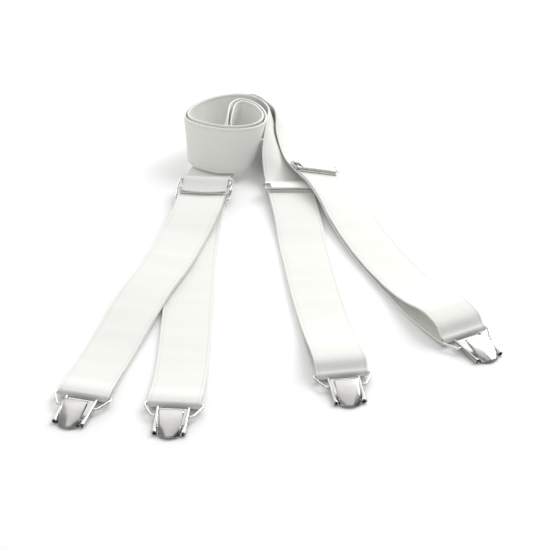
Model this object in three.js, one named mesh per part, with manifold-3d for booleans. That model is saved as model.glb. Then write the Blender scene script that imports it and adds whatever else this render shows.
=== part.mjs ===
// Pair of elastic suspenders lying with the middle of both straps rolled up on edge.
// Millimetres, +Z up. The clips point towards -Y and the roll stands at the +Y side.
import * as THREE from "three";
import { mergeVertices } from "three/addons/utils/BufferGeometryUtils.js";
import Module from "manifold-3d";

const wasm = await Module();
wasm.setup();

// ---- driving dimensions -------------------------------------------------------------
const WEB_WIDTH = 34.6;        // elastic webbing, across
const WEB_THICK = 1.5;         // elastic webbing, through
const GAP = 0.3;               // clearance left between pieces that touch
const BAIL_WIRE = 1.8;         // diameter of the bail wire
const BAIL_BAR = 38.8;         // bail, over its two outer corners
const BAIL_REACH = 13.4;       // bail bar to bail feet, along the clip
const BAIL_HEIGHT = 4.4;       // bail bar above the table
const CLIP_WIDTH = 22;         // over the two rolled sides of the back plate
const CLIP_TOP = 4.6;          // bail bar to the near end of the back plate
const CLIP_LENGTH = 25.6;      // length of the back plate
const SHEET = 0.6;             // sheet metal of the clip
const LEVER_LENGTH = 20;       // finger edge to tip, along the clip
const LEVER_RISE = 9.8;        // finger edge above the table
const LEVER_WIDTH = 16.4;      // across the finger edge
const LEVER_TIP = 11.2;        // across the tip
const PIN_RADIUS = 0.7;        // lever hinge pin
const SPRING_RADIUS = 1.3;     // torsion spring round the pin, to the middle of its wire
const SPRING_WIRE = 0.5;
const SPRING_PITCH = 0.8;      // along the pin, per turn
const SPRING_TURNS = 5;
const SLIDE_WIRE = 1.3;        // diameter of the adjuster wire
const SLIDE_WIDTH = 41.6;      // adjuster frame, outside
const TAB_THICK = 1.2;         // webbing of the sewn tab
const PLATE_WIDTH = 7.5;         // adjuster clamp plate, along the strap
const PLATE_LENGTH = 31;       // adjuster clamp plate, across the strap
const PLATE_THICK = 0.9;

const LAYER = WEB_THICK + GAP;                          // one webbing layer on another
const FOLD_RADIUS = BAIL_WIRE / 2 + 0.25 + WEB_THICK / 2; // mid-surface round the bail bar

// ---- materials ----------------------------------------------------------------------
const webbing = new THREE.MeshStandardMaterial({ color: 0xefeee9, roughness: 0.9, metalness: 0 });
const nickel = new THREE.MeshStandardMaterial({ color: 0xc9c7c3, roughness: 0.28, metalness: 1 });
const steel = new THREE.MeshStandardMaterial({ color: 0xb4b4b0, roughness: 0.35, metalness: 1 });
const grip = new THREE.MeshStandardMaterial({ color: 0xd8d6cf, roughness: 0.6, metalness: 0 });

// ---- small vector helpers -----------------------------------------------------------
const vec = (x, y, z) => new THREE.Vector3(x, y, z);

// Closed solid through a row of rings that all have the same number of points.
function loft(rings, looped = false) {
  const count = rings[0].length;
  const positions = rings.flat().flatMap((p) => [p.x, p.y, p.z]);
  const index = [];
  const bands = looped ? rings.length : rings.length - 1;
  for (let i = 0; i < bands; i += 1) {
    const a = i * count;
    const b = ((i + 1) % rings.length) * count;
    for (let k = 0; k < count; k += 1) {
      const n = (k + 1) % count;
      index.push(a + k, b + k, b + n, a + k, b + n, a + n);
    }
  }
  if (!looped) {
    capRing(rings[0], 0, index, true);
    capRing(rings[rings.length - 1], (rings.length - 1) * count, index, false);
  }
  const geometry = new THREE.BufferGeometry();
  geometry.setAttribute("position", new THREE.Float32BufferAttribute(positions, 3));
  geometry.setIndex(index);
  return outward(geometry);
}

// Triangles that close one end ring of a loft.
function capRing(ring, offset, index, flip) {
  const normal = vec(0, 0, 0);
  ring.forEach((p, k) => {
    const q = ring[(k + 1) % ring.length];
    normal.add(vec((p.y - q.y) * (p.z + q.z), (p.z - q.z) * (p.x + q.x), (p.x - q.x) * (p.y + q.y)));
  });
  normal.normalize();
  const side = Math.abs(normal.x) < 0.8 ? vec(1, 0, 0) : vec(0, 1, 0);
  const u = side.clone().cross(normal).normalize();
  const v = normal.clone().cross(u);
  const flat = ring.map((p) => new THREE.Vector2(p.dot(u), p.dot(v)));
  for (const [i, j, k] of THREE.ShapeUtils.triangulateShape(flat, [])) {
    if (flip) index.push(offset + i, offset + j, offset + k);
    else index.push(offset + i, offset + k, offset + j);
  }
}

// Turns a closed geometry the right way out when its signed volume is negative.
function outward(geometry) {
  const p = geometry.attributes.position;
  const ix = geometry.index.array;
  let volume = 0;
  const a = vec(0, 0, 0);
  const b = vec(0, 0, 0);
  const c = vec(0, 0, 0);
  for (let i = 0; i < ix.length; i += 3) {
    a.fromBufferAttribute(p, ix[i]);
    b.fromBufferAttribute(p, ix[i + 1]);
    c.fromBufferAttribute(p, ix[i + 2]);
    volume += a.dot(b.cross(c));
  }
  if (volume < 0) {
    for (let i = 0; i < ix.length; i += 3) {
      [ix[i + 1], ix[i + 2]] = [ix[i + 2], ix[i + 1]];
    }
  }
  geometry.computeVertexNormals();
  return geometry;
}

// Smooth curve through rows of numbers (first three are x, y, z), spaced by chord length.
function through(rows) {
  const knots = [0];
  for (let i = 1; i < rows.length; i += 1) {
    const d = Math.hypot(...[0, 1, 2].map((k) => rows[i][k] - rows[i - 1][k]));
    knots.push(knots[i - 1] + Math.max(d, 1e-3));
  }
  const slope = rows.map((row, i) => row.map((value, k) => {
    const before = i > 0 ? (value - rows[i - 1][k]) / (knots[i] - knots[i - 1]) : null;
    const after = i < rows.length - 1 ? (rows[i + 1][k] - value) / (knots[i + 1] - knots[i]) : null;
    if (before === null) return after;
    if (after === null) return before;
    const left = knots[i] - knots[i - 1];
    const right = knots[i + 1] - knots[i];
    return (before * right + after * left) / (left + right);
  }));
  return (i, s) => {
    const h = knots[i + 1] - knots[i];
    const s2 = s * s;
    const s3 = s2 * s;
    return rows[i].map((value, k) => (2 * s3 - 3 * s2 + 1) * value
      + (s3 - 2 * s2 + s) * h * slope[i][k]
      + (3 * s2 - 2 * s3) * rows[i + 1][k]
      + (s3 - s2) * h * slope[i + 1][k]);
  };
}

// Webbing ribbon along stations [x, y, z, wx, wy, wz]: w points across the webbing.
function ribbon(rows, width, thick) {
  const at = through(rows);
  const line = [];
  for (let i = 0; i < rows.length - 1; i += 1) {
    const chord = Math.hypot(...[0, 1, 2].map((k) => rows[i + 1][k] - rows[i][k]));
    const start = direction(at, i, 0).angleTo(direction(at, i, 1));
    const twist = vec(...rows[i].slice(3)).angleTo(vec(...rows[i + 1].slice(3)));
    const steps = Math.max(1, Math.ceil(chord / 9), Math.ceil((start + twist) / 0.16));
    for (let j = 0; j < steps; j += 1) {
      line.push({ row: at(i, j / steps), run: direction(at, i, j / steps) });
    }
  }
  const last = rows.length - 2;
  line.push({ row: at(last, 1), run: direction(at, last, 1) });
  return loft(line.map(({ row, run }) => {
    const p = vec(row[0], row[1], row[2]);
    const across = vec(row[3], row[4], row[5]).normalize();
    const face = across.clone().cross(run).normalize();
    const corner = (s, t) => p.clone()
      .addScaledVector(across, s * width / 2).addScaledVector(face, t * thick / 2);
    return [corner(1, 1), corner(-1, 1), corner(-1, -1), corner(1, -1)];
  }));
}

function direction(at, i, s) {
  const a = at(i, Math.max(0, s - 0.01));
  const b = at(i, Math.min(1, s + 0.01));
  return vec(b[0] - a[0], b[1] - a[1], b[2] - a[2]).normalize();
}

// Round wire along points; the frame is carried along without twist.
function wire(points, diameter, sides = 8, looped = false) {
  const n = points.length;
  const tangent = points.map((p, i) => {
    const a = points[looped ? (i + n - 1) % n : Math.max(0, i - 1)];
    const b = points[looped ? (i + 1) % n : Math.min(n - 1, i + 1)];
    return b.clone().sub(a).normalize();
  });
  let normal = vec(0, 0, 1);
  if (Math.abs(tangent[0].z) > 0.9) normal = vec(0, 1, 0);
  const rings = points.map((p, i) => {
    normal = normal.clone().addScaledVector(tangent[i], -normal.dot(tangent[i])).normalize();
    const side = tangent[i].clone().cross(normal);
    const ring = [];
    for (let k = 0; k < sides; k += 1) {
      const angle = (2 * Math.PI * k) / sides;
      ring.push(p.clone().addScaledVector(normal, Math.cos(angle) * diameter / 2)
        .addScaledVector(side, Math.sin(angle) * diameter / 2));
    }
    return ring;
  });
  return loft(rings, looped);
}

// Polyline with each inner corner rounded off by short arcs.
function rounded(corners, cut, steps = 3) {
  const out = [corners[0].clone()];
  for (let i = 1; i < corners.length - 1; i += 1) {
    const before = corners[i - 1].clone().sub(corners[i]);
    const after = corners[i + 1].clone().sub(corners[i]);
    const a = corners[i].clone().addScaledVector(before.clone().normalize(), cut);
    const b = corners[i].clone().addScaledVector(after.clone().normalize(), cut);
    const bend = new THREE.QuadraticBezierCurve3(a, corners[i], b);
    out.push(...bend.getPoints(steps));
  }
  out.push(corners[corners.length - 1].clone());
  return out;
}

// ---- exact booleans -----------------------------------------------------------------
function toManifold(geometry) {
  const plain = geometry.clone();
  plain.deleteAttribute("normal");
  plain.deleteAttribute("uv");
  const merged = mergeVertices(plain, 1e-5);
  return new wasm.Manifold(new wasm.Mesh({
    numProp: 3,
    vertProperties: new Float32Array(merged.attributes.position.array),
    triVerts: new Uint32Array(merged.index.array),
  }));
}

function fromManifold(solid) {
  const mesh = solid.getMesh();
  const geometry = new THREE.BufferGeometry();
  geometry.setAttribute("position", new THREE.Float32BufferAttribute(mesh.vertProperties, 3));
  geometry.setIndex(Array.from(mesh.triVerts));
  geometry.computeVertexNormals();
  return geometry;
}

const joined = (...parts) => fromManifold(parts.map(toManifold).reduce((a, b) => a.add(b)));
const without = (body, ...tools) => fromManifold(
  tools.map(toManifold).reduce((a, b) => a.subtract(b), toManifold(body)));

function cylinderX(radius, length, x, y, z, sides = 16) {
  return new THREE.CylinderGeometry(radius, radius, length, sides)
    .rotateZ(Math.PI / 2).translate(x, y, z);
}

// ---- the assembly -------------------------------------------------------------------
const root = new THREE.Group();
root.name = "suspenders";

function add(name, geometry, material) {
  const mesh = new THREE.Mesh(geometry, material.clone());
  mesh.name = name;
  root.add(mesh);
  return mesh;
}

// Where each end lies: bail bar centre, and how the clip is turned from straight to -Y.
const ENDS = [
  { x: -122.4, y: -178, turn: -16 },
  { x: -64.1, y: -188.5, turn: -5 },
  { x: 43.6, y: -153, turn: 9 },
  { x: 126, y: -103, turn: 31 },
].map((end) => {
  const angle = THREE.MathUtils.degToRad(end.turn);
  return {
    ...end,
    out: vec(Math.sin(angle), -Math.cos(angle), 0),
    across: vec(Math.cos(angle), Math.sin(angle), 0),
  };
});

const flat = (x, y, z, turn = 0, tilt = 0) => {
  const a = THREE.MathUtils.degToRad(turn);
  const b = THREE.MathUtils.degToRad(tilt);
  return [x, y, z, Math.cos(a) * Math.cos(b), Math.sin(a) * Math.cos(b), Math.sin(b)];
};

// Station between two edge points: the edge that ends up lowest, then the other one.
const span = ([ax, ay, az], [bx, by, bz]) => [
  (ax + bx) / 2, (ay + by) / 2, (az + bz) / 2,
  ...vec(bx - ax, by - ay, bz - az).normalize().toArray(),
];

// Station on the upright roll, given by its top edge. The roll is smaller at its foot
// than at its rim and leans back, so the foot is the rim shrunk and moved forward.
const RIM_CENTRE = [-37, 166];
const FOOT_CENTRE = [-40.5, 155];
const FOOT_SHRINK = [0.8, 0.97];
const stand = (x, y, z) => {
  const dx = x - (FOOT_CENTRE[0] + FOOT_SHRINK[0] * (x - RIM_CENTRE[0]));
  const dy = y - (FOOT_CENTRE[1] + FOOT_SHRINK[1] * (y - RIM_CENTRE[1]));
  const dz = Math.sqrt(WEB_WIDTH ** 2 - dx ** 2 - dy ** 2);
  return span([x - dx, y - dy, z - dz], [x, y, z]);
};

// Webbing from each clip up to its adjuster; the last station carries the adjuster.
// Strap A (clips 1 and 4) lies over strap B (clips 2 and 3).
const LOW = WEB_THICK / 2;
const lower1 = [
  flat(-119, -160, 1.4, -15.5),
  flat(-112.3, -133, 0.9, -15),
  flat(-107.5, -115, 1.2, -15, 1),
  flat(-101.5, -93, 2.6, -15, 2),
  flat(-90, -52, 5.0, -15, 1),
  flat(-76.5, -11, 4.9, -14.5, 1),
  flat(-65.5, 32, 5.0, -14),
  flat(-57.6, 62.5, 8.3, -8, 2),
  flat(-53.6, 85.7, 8.6, -8, 2),
  flat(-50.6, 103.5, 8.8, -8, 2),
];
const lower2 = [
  flat(-62.6, -170, 1.4, -4),
  flat(-61, -145, LOW, -3),
  flat(-60.5, -125, LOW, -3),
  flat(-59.6, -57, LOW, -1),
  flat(-58.8, 15, LOW, -2),
  flat(-56.6, 60, LOW, -5),
  flat(-54.2, 86, LOW, -5),
  flat(-52.6, 104, LOW, -5),
];
const lower3 = [
  flat(40.6, -136, 1.4, 8.5),
  flat(37.2, -112, LOW, 8),
  flat(34.7, -94, LOW, 8),
  flat(28.5, -50, LOW, 8),
  flat(22.7, 0, LOW, 7),
  flat(20.4, 20, LOW, 7),
  flat(16.5, 63, 2.4, 7.5, -4),
  flat(13.1, 89.7, 3.3, 7.5, -4),
  flat(10.8, 107.5, 3.9, 7.5, -4),
];
const lower4 = [
  flat(116.6, -87, 1.4, 30),
  flat(103.5, -62, LOW, 26),
  flat(96.5, -46, LOW, 25),
  flat(87, -24, LOW, 23),
  flat(70, 18, 1.0, 21, -1),
  flat(55.5, 62, 2.6, 22.5, -5),
  flat(45.5, 91.5, 5.4, 28, -15),
  flat(38.8, 105.2, 7.3, 29.6, -20.5),
  flat(27, 126, 9.9, 29.6, -20.5),
];

// Middle of strap A: under the foot of the roll, up inside it, once round and out again.
const middleA = [
  flat(-49.8, 114, 7.5, -7, 2),
  span([-67.9, 126, 4.0], [-33.3, 122, 5.6]),
  span([-66.3, 133, 3.4], [-32.6, 130, 8.4]),
  span([-62, 145, 3.2], [-34.5, 142.5, 23.6]),
  span([-53.5, 157, 3.2], [-36, 155.5, 33]),
  span([-43.2, 168.5, 3.4], [-35.6, 170, 37.2]),
  stand(-34.6, 183, 37.3),
  stand(-31.5, 191, 36.9),
  stand(-26.6, 195.2, 36.7),
  stand(-21, 192.6, 36.9),
  stand(-14.2, 185, 37.4),
  stand(-9.2, 174.5, 38),
  stand(-6.9, 164.6, 38.6),
  stand(-6.6, 155, 39.2),
  stand(-8.8, 145.5, 39.8),
  stand(-15.8, 137.4, 40.4),
  stand(-28.5, 133.6, 40.7),
  stand(-38.7, 134.4, 40.6),
  stand(-49.1, 138.2, 40.4),
  stand(-59.6, 144.6, 40),
  stand(-66.6, 152.4, 39.4),
  stand(-69.2, 162.4, 38.7),
  stand(-67.8, 172.6, 38),
  stand(-61, 187, 36.9),
  stand(-53.3, 196.2, 36.3),
  stand(-45.4, 201.6, 36),
  stand(-37.5, 205, 35.8),
  stand(-29.7, 206.6, 35.7),
  stand(-21.7, 205.6, 35.8),
  span([-12, 197.5, 2.4], [-14.2, 201.6, 36.4]),
  span([1.5, 200, 2], [-8, 196.4, 35]),
  span([14, 197, 2], [-0.8, 188.5, 31.5]),
  span([25, 181, 2.6], [1.6, 166, 21]),
  span([34, 159, 2.8], [6, 142.6, 14.6]),
];
const middleB = [
  flat(-51.9, 113.5, 0.95, -5),
  span([-67.3, 127, 1.5], [-32.8, 123, 2.6]),
  span([-65, 134, 1.2], [-31, 131, 5.6]),
  span([-60.3, 145.5, 1.2], [-32.5, 143.5, 21.4]),
  span([-51, 157.5, 1.3], [-33.2, 156, 31]),
  span([-40.2, 168, 2.2], [-32.8, 168, 36]),
  stand(-31.4, 178, 37.6),
  stand(-28.8, 185.6, 38),
  stand(-25, 189, 37.9),
  stand(-20.9, 186.4, 38),
  stand(-15.2, 179.6, 38.5),
  stand(-11.5, 171, 39),
  stand(-9.5, 163.6, 39.5),
  stand(-9.2, 155.5, 40),
  stand(-11.3, 148.2, 40.6),
  stand(-17.4, 140.8, 41.3),
  stand(-28.6, 137.1, 41.6),
  stand(-37.9, 137.9, 41.5),
  stand(-47.6, 141.4, 41.3),
  stand(-57.6, 147.4, 40.8),
  stand(-63.9, 154.5, 40.2),
  stand(-66.3, 162.6, 39.6),
  stand(-65, 171.2, 39),
  stand(-58.6, 184.8, 38),
  stand(-51.3, 193.6, 37.3),
  stand(-44, 198.6, 37),
  stand(-37, 201.6, 36.8),
  stand(-29.9, 203, 36.7),
  stand(-22.7, 202.1, 36.8),
  span([-14.5, 193.4, 2.6], [-16.2, 198, 37]),
  span([-1, 193.4, 2], [-9.4, 192.4, 35.6]),
  span([4.2, 184, 2], [-5.2, 182, 35]),
  span([4.3, 170, 1.6], [-5.6, 167, 34.4]),
  span([9.8, 156, 1.4], [-7.4, 152.6, 30.8]),
  span([17.6, 141.5, 1.2], [-9.4, 137, 21.4]),
  span([25.6, 125, 1.6], [-8.4, 120, 8.2]),
];

// Half circle of stations round a bail bar, from the lower layer to the upper one.
function bailFold(end) {
  const rows = [];
  const count = 6;
  for (let i = 0; i <= count; i += 1) {
    const angle = -Math.PI / 2 + (Math.PI * i) / count;
    const p = vec(end.x, end.y, BAIL_HEIGHT)
      .addScaledVector(end.out, Math.cos(angle) * FOLD_RADIUS);
    p.z += Math.sin(angle) * FOLD_RADIUS;
    rows.push([p.x, p.y, p.z, end.across.x, end.across.y, 0]);
  }
  return rows;
}

// Adjuster placed on the last station of a lower layer: origin on top of the layer,
// x across the webbing, y along it away from the clip, z off its face.
function slidePlace(lower) {
  const last = lower[lower.length - 1];
  const previous = lower[lower.length - 2];
  const x = vec(...last.slice(3)).normalize();
  const y = vec(...[0, 1, 2].map((k) => last[k] - previous[k])).normalize();
  y.addScaledVector(x, -y.dot(x)).normalize();
  const z = x.clone().cross(y);
  const p = vec(...last.slice(0, 3)).addScaledVector(z, WEB_THICK / 2);
  return new THREE.Matrix4().makeBasis(x, y, z).setPosition(p);
}

const NOSE_REACH = 6;          // bail bar to the fullest part of a loose loop

// One doubled end, from the cut end of the upper layer round the bail and back under it.
// The cut end lies cut away from the adjuster's bar, and nose is the height of the loop's
// upper side just before the bail.
function doubledEnd(end, lower, { cut, bulge, nose }) {
  const place = slidePlace(lower);
  const start = vec(0, -cut, GAP + WEB_THICK / 2).applyMatrix4(place);
  const across = lower[lower.length - 1].slice(3);
  const upper = [[start.x, start.y, start.z, ...across]];
  for (let i = lower.length - 2; i >= 0; i -= 1) {
    const [x, y, z, ...w] = lower[i];
    upper.push([x, y, z + LAYER + (bulge[i] ?? 0), ...w]);
  }
  if (nose) {
    const p = vec(end.x, end.y, nose).addScaledVector(end.out, -NOSE_REACH);
    upper.push([p.x, p.y, p.z, end.across.x, end.across.y, 0]);
  }
  return [...upper, ...bailFold(end).reverse(), ...lower];
}

// The same stations walked the other way, with the webbing's width arrow turned round.
const turned = (rows) => rows.slice().reverse()
  .map(([x, y, z, a, b, c]) => [x, y, z, -a, -b, -c]);

const strapA = [
  ...doubledEnd(ENDS[0], lower1, { cut: 15.5, bulge: [1.5, 0.6, 0.4, 0.2] }),
  ...middleA,
  ...turned(doubledEnd(ENDS[3], lower4, { cut: 8, bulge: [11.6, 7.2, 4.2, 2.4, 1.8, 1.5, 0.6], nose: 12 })),
];
const strapB = [
  ...doubledEnd(ENDS[1], lower2, { cut: 15.5, bulge: [1.5, 0.5, 0.2] }),
  ...middleB,
  ...turned(doubledEnd(ENDS[2], lower3, { cut: 8, bulge: [8.6, 5.2, 2.8, 1.2, 0.5], nose: 10.8 })),
];
add("strap_a", ribbon(strapA, WEB_WIDTH, WEB_THICK), webbing);
add("strap_b", ribbon(strapB, WEB_WIDTH, WEB_THICK), webbing);

// ---- clip, in its own frame: x across, y towards the strap, z up, bail bar over 0,0 --
const tubeAt = (v) => {
  const s = (v - CLIP_TOP) / CLIP_LENGTH;
  const radius = 0.95 + 0.8 * s;
  return { radius, x: CLIP_WIDTH / 2 - radius, z: 4.7 - 2.85 * s };
};

// Sheet with both long sides rolled up into open tubes that widen towards the jaw.
function backPlate() {
  const rings = [];
  for (let i = 0; i <= 4; i += 1) {
    const v = CLIP_TOP + (CLIP_LENGTH * i) / 4;
    const { radius, x, z } = tubeAt(v);
    const arc = (r, side, reverse) => {
      const points = [];
      for (let k = 0; k <= 9; k += 1) {
        const a = THREE.MathUtils.degToRad(-90 + (258 * k) / 9);
        points.push(vec(side * (x + Math.cos(a) * r), -v, z + Math.sin(a) * r));
      }
      return reverse ? points.reverse() : points;
    };
    const inner = radius - SHEET * 0.8;
    rings.push([...arc(radius, 1), ...arc(inner, 1, true), ...arc(inner, -1),
      ...arc(radius, -1, true)]);
  }
  return loft(rings);
}

// Lever sheet: straight finger edge, falling and crowning towards a rounded tip.
const LEVER_START = 14.2;
const leverAt = (t, s) => {
  const half = (LEVER_WIDTH + (LEVER_TIP - LEVER_WIDTH) * t) / 2;
  const crown = (0.3 + 1.3 * t) * s * s;
  const z = LEVER_RISE - (LEVER_RISE - 2.5) * (0.55 * t + 0.45 * t * t) - crown;
  const v = LEVER_START + LEVER_LENGTH * t - 2.6 * s * s * t ** 4;
  return vec(s * half, -v, z);
};
const PIN = vec(0, -24.2, 3.9);

function lever() {
  const rings = [];
  for (let i = 0; i <= 8; i += 1) {
    const top = [];
    for (let k = 0; k <= 8; k += 1) top.push(leverAt(i / 8, -1 + k / 4));
    const under = top.map((p) => vec(p.x, p.y, p.z - SHEET)).reverse();
    rings.push([...top, ...under]);
  }
  const bead = cylinderX(0.55, LEVER_WIDTH, 0, -LEVER_START, LEVER_RISE - 0.45, 12);
  const ear = new THREE.Shape([
    [-17.5, 8.25], [-22.75, 6.0], [-27.6, 3.3], [-26.4, 2.3], [-22.6, 2.3], [-18, 6.4],
  ].map(([y, z]) => new THREE.Vector2(y, z)));
  const ears = [-1, 1].map((side) => new THREE.ExtrudeGeometry(ear,
    { depth: SHEET, bevelEnabled: false, steps: 1 })
    .rotateX(Math.PI / 2).rotateZ(Math.PI / 2)
    .translate(side * 6.1 - SHEET / 2, 0, 0));
  const hole = cylinderX(PIN_RADIUS + 0.25, LEVER_WIDTH, 0, PIN.y, PIN.z);
  return without(joined(loft(rings), bead, ...ears), hole);
}

// Moulded grip pad under the tip of the lever, curved like the lever.
function gripPad() {
  const rings = [];
  for (let i = 0; i <= 4; i += 1) {
    const row = [];
    for (let k = 0; k <= 4; k += 1) {
      const p = leverAt(0.58 + 0.08 * i, -0.66 + 0.33 * k);
      row.push(vec(p.x, p.y, p.z - SHEET - GAP));
    }
    const under = row.map((p) => vec(p.x, p.y, p.z - 0.9)).reverse();
    rings.push([...row, ...under]);
  }
  return loft(rings);
}

// Torsion spring round the hinge pin: one leg on the back plate, one under the lever.
function spring() {
  const points = [vec(-SPRING_TURNS * SPRING_PITCH / 2, PIN.y + 4.6, PIN.z - 1.35)];
  const steps = SPRING_TURNS * 10;
  for (let i = 0; i <= steps; i += 1) {
    const a = -Math.PI / 2 - (2 * Math.PI * i) / 10;
    points.push(vec(SPRING_PITCH * (i / 10 - SPRING_TURNS / 2),
      PIN.y + Math.cos(a) * SPRING_RADIUS, PIN.z + Math.sin(a) * SPRING_RADIUS));
  }
  return wire(points, SPRING_WIRE, 6);
}

// Wire bail: bar inside the webbing fold, two legs, two feet turned in at the tubes.
function bail() {
  const foot = tubeAt(BAIL_REACH);
  const side = BAIL_BAR / 2 - BAIL_WIRE / 2;
  const half = (s) => [
    vec(s * (CLIP_WIDTH / 2 + GAP), -BAIL_REACH, foot.z),
    vec(s * (CLIP_WIDTH / 2 + 2.2), -BAIL_REACH, foot.z),
    vec(s * side, -3.2, BAIL_HEIGHT),
    vec(s * side, 0, BAIL_HEIGHT),
  ];
  return wire(rounded([...half(-1), ...half(1).reverse()], 0.9), BAIL_WIRE, 10);
}

// ---- adjuster, in the frame given by slidePlace --------------------------------------
const TAB_RADIUS = SLIDE_WIRE / 2 + GAP + TAB_THICK / 2;
const PLATE_LIFT = TAB_RADIUS + TAB_THICK / 2 + GAP;       // bar to the plate's near face
const TAB_END_Z = LAYER + GAP + TAB_THICK / 2;
const BOW_Z = TAB_END_Z + TAB_THICK / 2 + GAP + SLIDE_WIRE / 2;

// Adjusters 3 and 4 lie with their clamp plate up; 1 and 2 lie turned over, so the plate
// is under the tab and the bowed wire shows. barZ lifts the straight bar off the layer.
const FACE_UP = {
  length: 10,                  // far bar to the tip of the bowed bar
  bow: 1.2,                    // how far the front bar is bowed towards the clip
  tab: 11,                     // far bar to the cut end of the tab
  barZ: PLATE_LIFT,
  plateSide: 1,
};
const FACE_DOWN = {
  length: 20.5, bow: 4.5, tab: 20.1,
  barZ: GAP + PLATE_THICK + PLATE_LIFT + 0.02,
  plateSide: -1,
};
const ADJUSTERS = [FACE_DOWN, FACE_DOWN, FACE_UP, FACE_UP];

// Closed wire frame: straight far bar inside the tab, bowed front bar over the webbing.
function slideFrame({ length, bow: depth, barZ }) {
  const side = SLIDE_WIDTH / 2 - SLIDE_WIRE / 2;
  const reach = length - depth;
  const points = [vec(-side + 0.8, 0, barZ), vec(0, 0, barZ), vec(side - 0.8, 0, barZ)];
  points.push(vec(side - 0.2, -0.3, barZ), vec(side, -1, barZ));
  const bow = [];
  for (let i = 0; i <= 10; i += 1) {
    const s = 1 - i / 5;
    const fall = Math.sqrt(Math.max(0, 1 - s * s * 0.96));
    bow.push(vec(side * s, -reach + 1 - (depth + 1) * fall, BOW_Z));
  }
  points.push(vec(side, -reach * 0.5, (barZ + BOW_Z) / 2), ...bow);
  points.push(vec(-side, -reach * 0.5, (barZ + BOW_Z) / 2), vec(-side, -1, barZ));
  points.push(vec(-side + 0.2, -0.3, barZ));
  return wire(points, SLIDE_WIRE, 8, true);
}

// Webbing tab folded round the far bar, its short underside sewn down below the bar.
function slideTab({ tab, barZ }) {
  const rows = [[0, -4.9, barZ - TAB_RADIUS, 1, 0, 0]];
  for (let i = 0; i <= 6; i += 1) {
    const a = -Math.PI / 2 + (Math.PI * i) / 6;
    rows.push([0, Math.cos(a) * TAB_RADIUS, barZ + Math.sin(a) * TAB_RADIUS, 1, 0, 0]);
  }
  rows.push([0, -tab * 0.6, TAB_END_Z + (barZ + TAB_RADIUS - TAB_END_Z) * 0.35, 1, 0, 0]);
  rows.push([0, -tab, TAB_END_Z, 1, 0, 0]);
  return ribbon(rows, WEB_WIDTH - 1.2, TAB_THICK);
}

// Flat clamp plate with an eyelet at each end that turns on the far bar.
function clampPlate({ barZ, plateSide }) {
  const box = (w, d, h, x, y, z) => new THREE.BoxGeometry(w, d, h).translate(x, y, z);
  const top = PLATE_LIFT + PLATE_THICK;
  const middle = PLATE_LIFT + PLATE_THICK / 2;
  const eyeX = SLIDE_WIDTH / 2 - 2.1;
  const solids = [-1, 1].flatMap((s) => [
    cylinderX(1.7, 1, s * eyeX, 0, 0),
    box(1, 2.4, top - 1, s * eyeX, -1, (top + 1) / 2),
    box(1, 3, PLATE_THICK, s * eyeX, -2, middle),
  ]);
  const plate = box(PLATE_LENGTH, PLATE_WIDTH, PLATE_THICK, 0, -3 - PLATE_WIDTH / 2, middle);
  const neck = box(2 * eyeX + 1, 2.2, PLATE_THICK, 0, -2.6, middle);
  const bore = cylinderX(SLIDE_WIRE / 2 + 0.25, SLIDE_WIDTH, 0, 0, 0);
  const turn = plateSide > 0 ? 0 : Math.PI;
  return without(joined(plate, neck, ...solids), bore).rotateY(turn).translate(0, 0, barZ);
}

// ---- placing clips and adjusters -----------------------------------------------------
const clipPieces = {
  bail: [bail(), steel],
  back_plate: [backPlate(), nickel],
  lever: [lever(), nickel],
  hinge_pin: [cylinderX(PIN_RADIUS, 15.4, 0, PIN.y, PIN.z, 12), steel],
  spring: [spring(), steel],
  grip_pad: [gripPad(), grip],
};
ENDS.forEach((end, i) => {
  for (const [piece, [geometry, material]] of Object.entries(clipPieces)) {
    const placed = geometry.clone()
      .rotateZ(THREE.MathUtils.degToRad(end.turn)).translate(end.x, end.y, 0);
    add(`end${i + 1}_${piece}`, placed, material);
  }
});

[lower1, lower2, lower3, lower4].forEach((lower, i) => {
  const place = slidePlace(lower);
  const kind = ADJUSTERS[i];
  add(`adjuster${i + 1}_frame`, slideFrame(kind).applyMatrix4(place), steel);
  add(`adjuster${i + 1}_tab`, slideTab(kind).applyMatrix4(place), webbing);
  add(`adjuster${i + 1}_clamp_plate`, clampPlate(kind).applyMatrix4(place), steel);
});

// ---- origin: middle of the footprint, on the table ------------------------------------
const bounds = new THREE.Box3().setFromObject(root);
const middle = bounds.getCenter(vec(0, 0, 0));
for (const mesh of root.children) {
  mesh.geometry.translate(-middle.x, -middle.y, -bounds.min.z);
}

export default root;
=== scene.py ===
"""Pair of elastic suspenders, laid out on a table with the middle of both straps rolled up on edge.

Metres in the row's frame. Lengths below are written in millimetres and turned into metres by MM.
"""

import math

import bpy
import numpy as np
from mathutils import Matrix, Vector


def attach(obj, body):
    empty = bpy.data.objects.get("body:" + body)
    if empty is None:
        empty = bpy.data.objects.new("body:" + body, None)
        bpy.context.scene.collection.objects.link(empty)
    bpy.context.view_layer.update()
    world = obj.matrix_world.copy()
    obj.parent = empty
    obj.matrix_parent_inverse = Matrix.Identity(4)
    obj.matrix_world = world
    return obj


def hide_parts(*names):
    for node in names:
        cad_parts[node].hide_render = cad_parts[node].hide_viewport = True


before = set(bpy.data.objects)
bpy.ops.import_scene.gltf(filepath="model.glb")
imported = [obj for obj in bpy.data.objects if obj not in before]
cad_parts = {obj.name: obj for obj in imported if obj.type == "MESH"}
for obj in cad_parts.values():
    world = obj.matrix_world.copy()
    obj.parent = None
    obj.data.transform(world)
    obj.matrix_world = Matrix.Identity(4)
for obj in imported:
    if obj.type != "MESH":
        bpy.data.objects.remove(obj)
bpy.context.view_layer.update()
MM = 0.001

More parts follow.
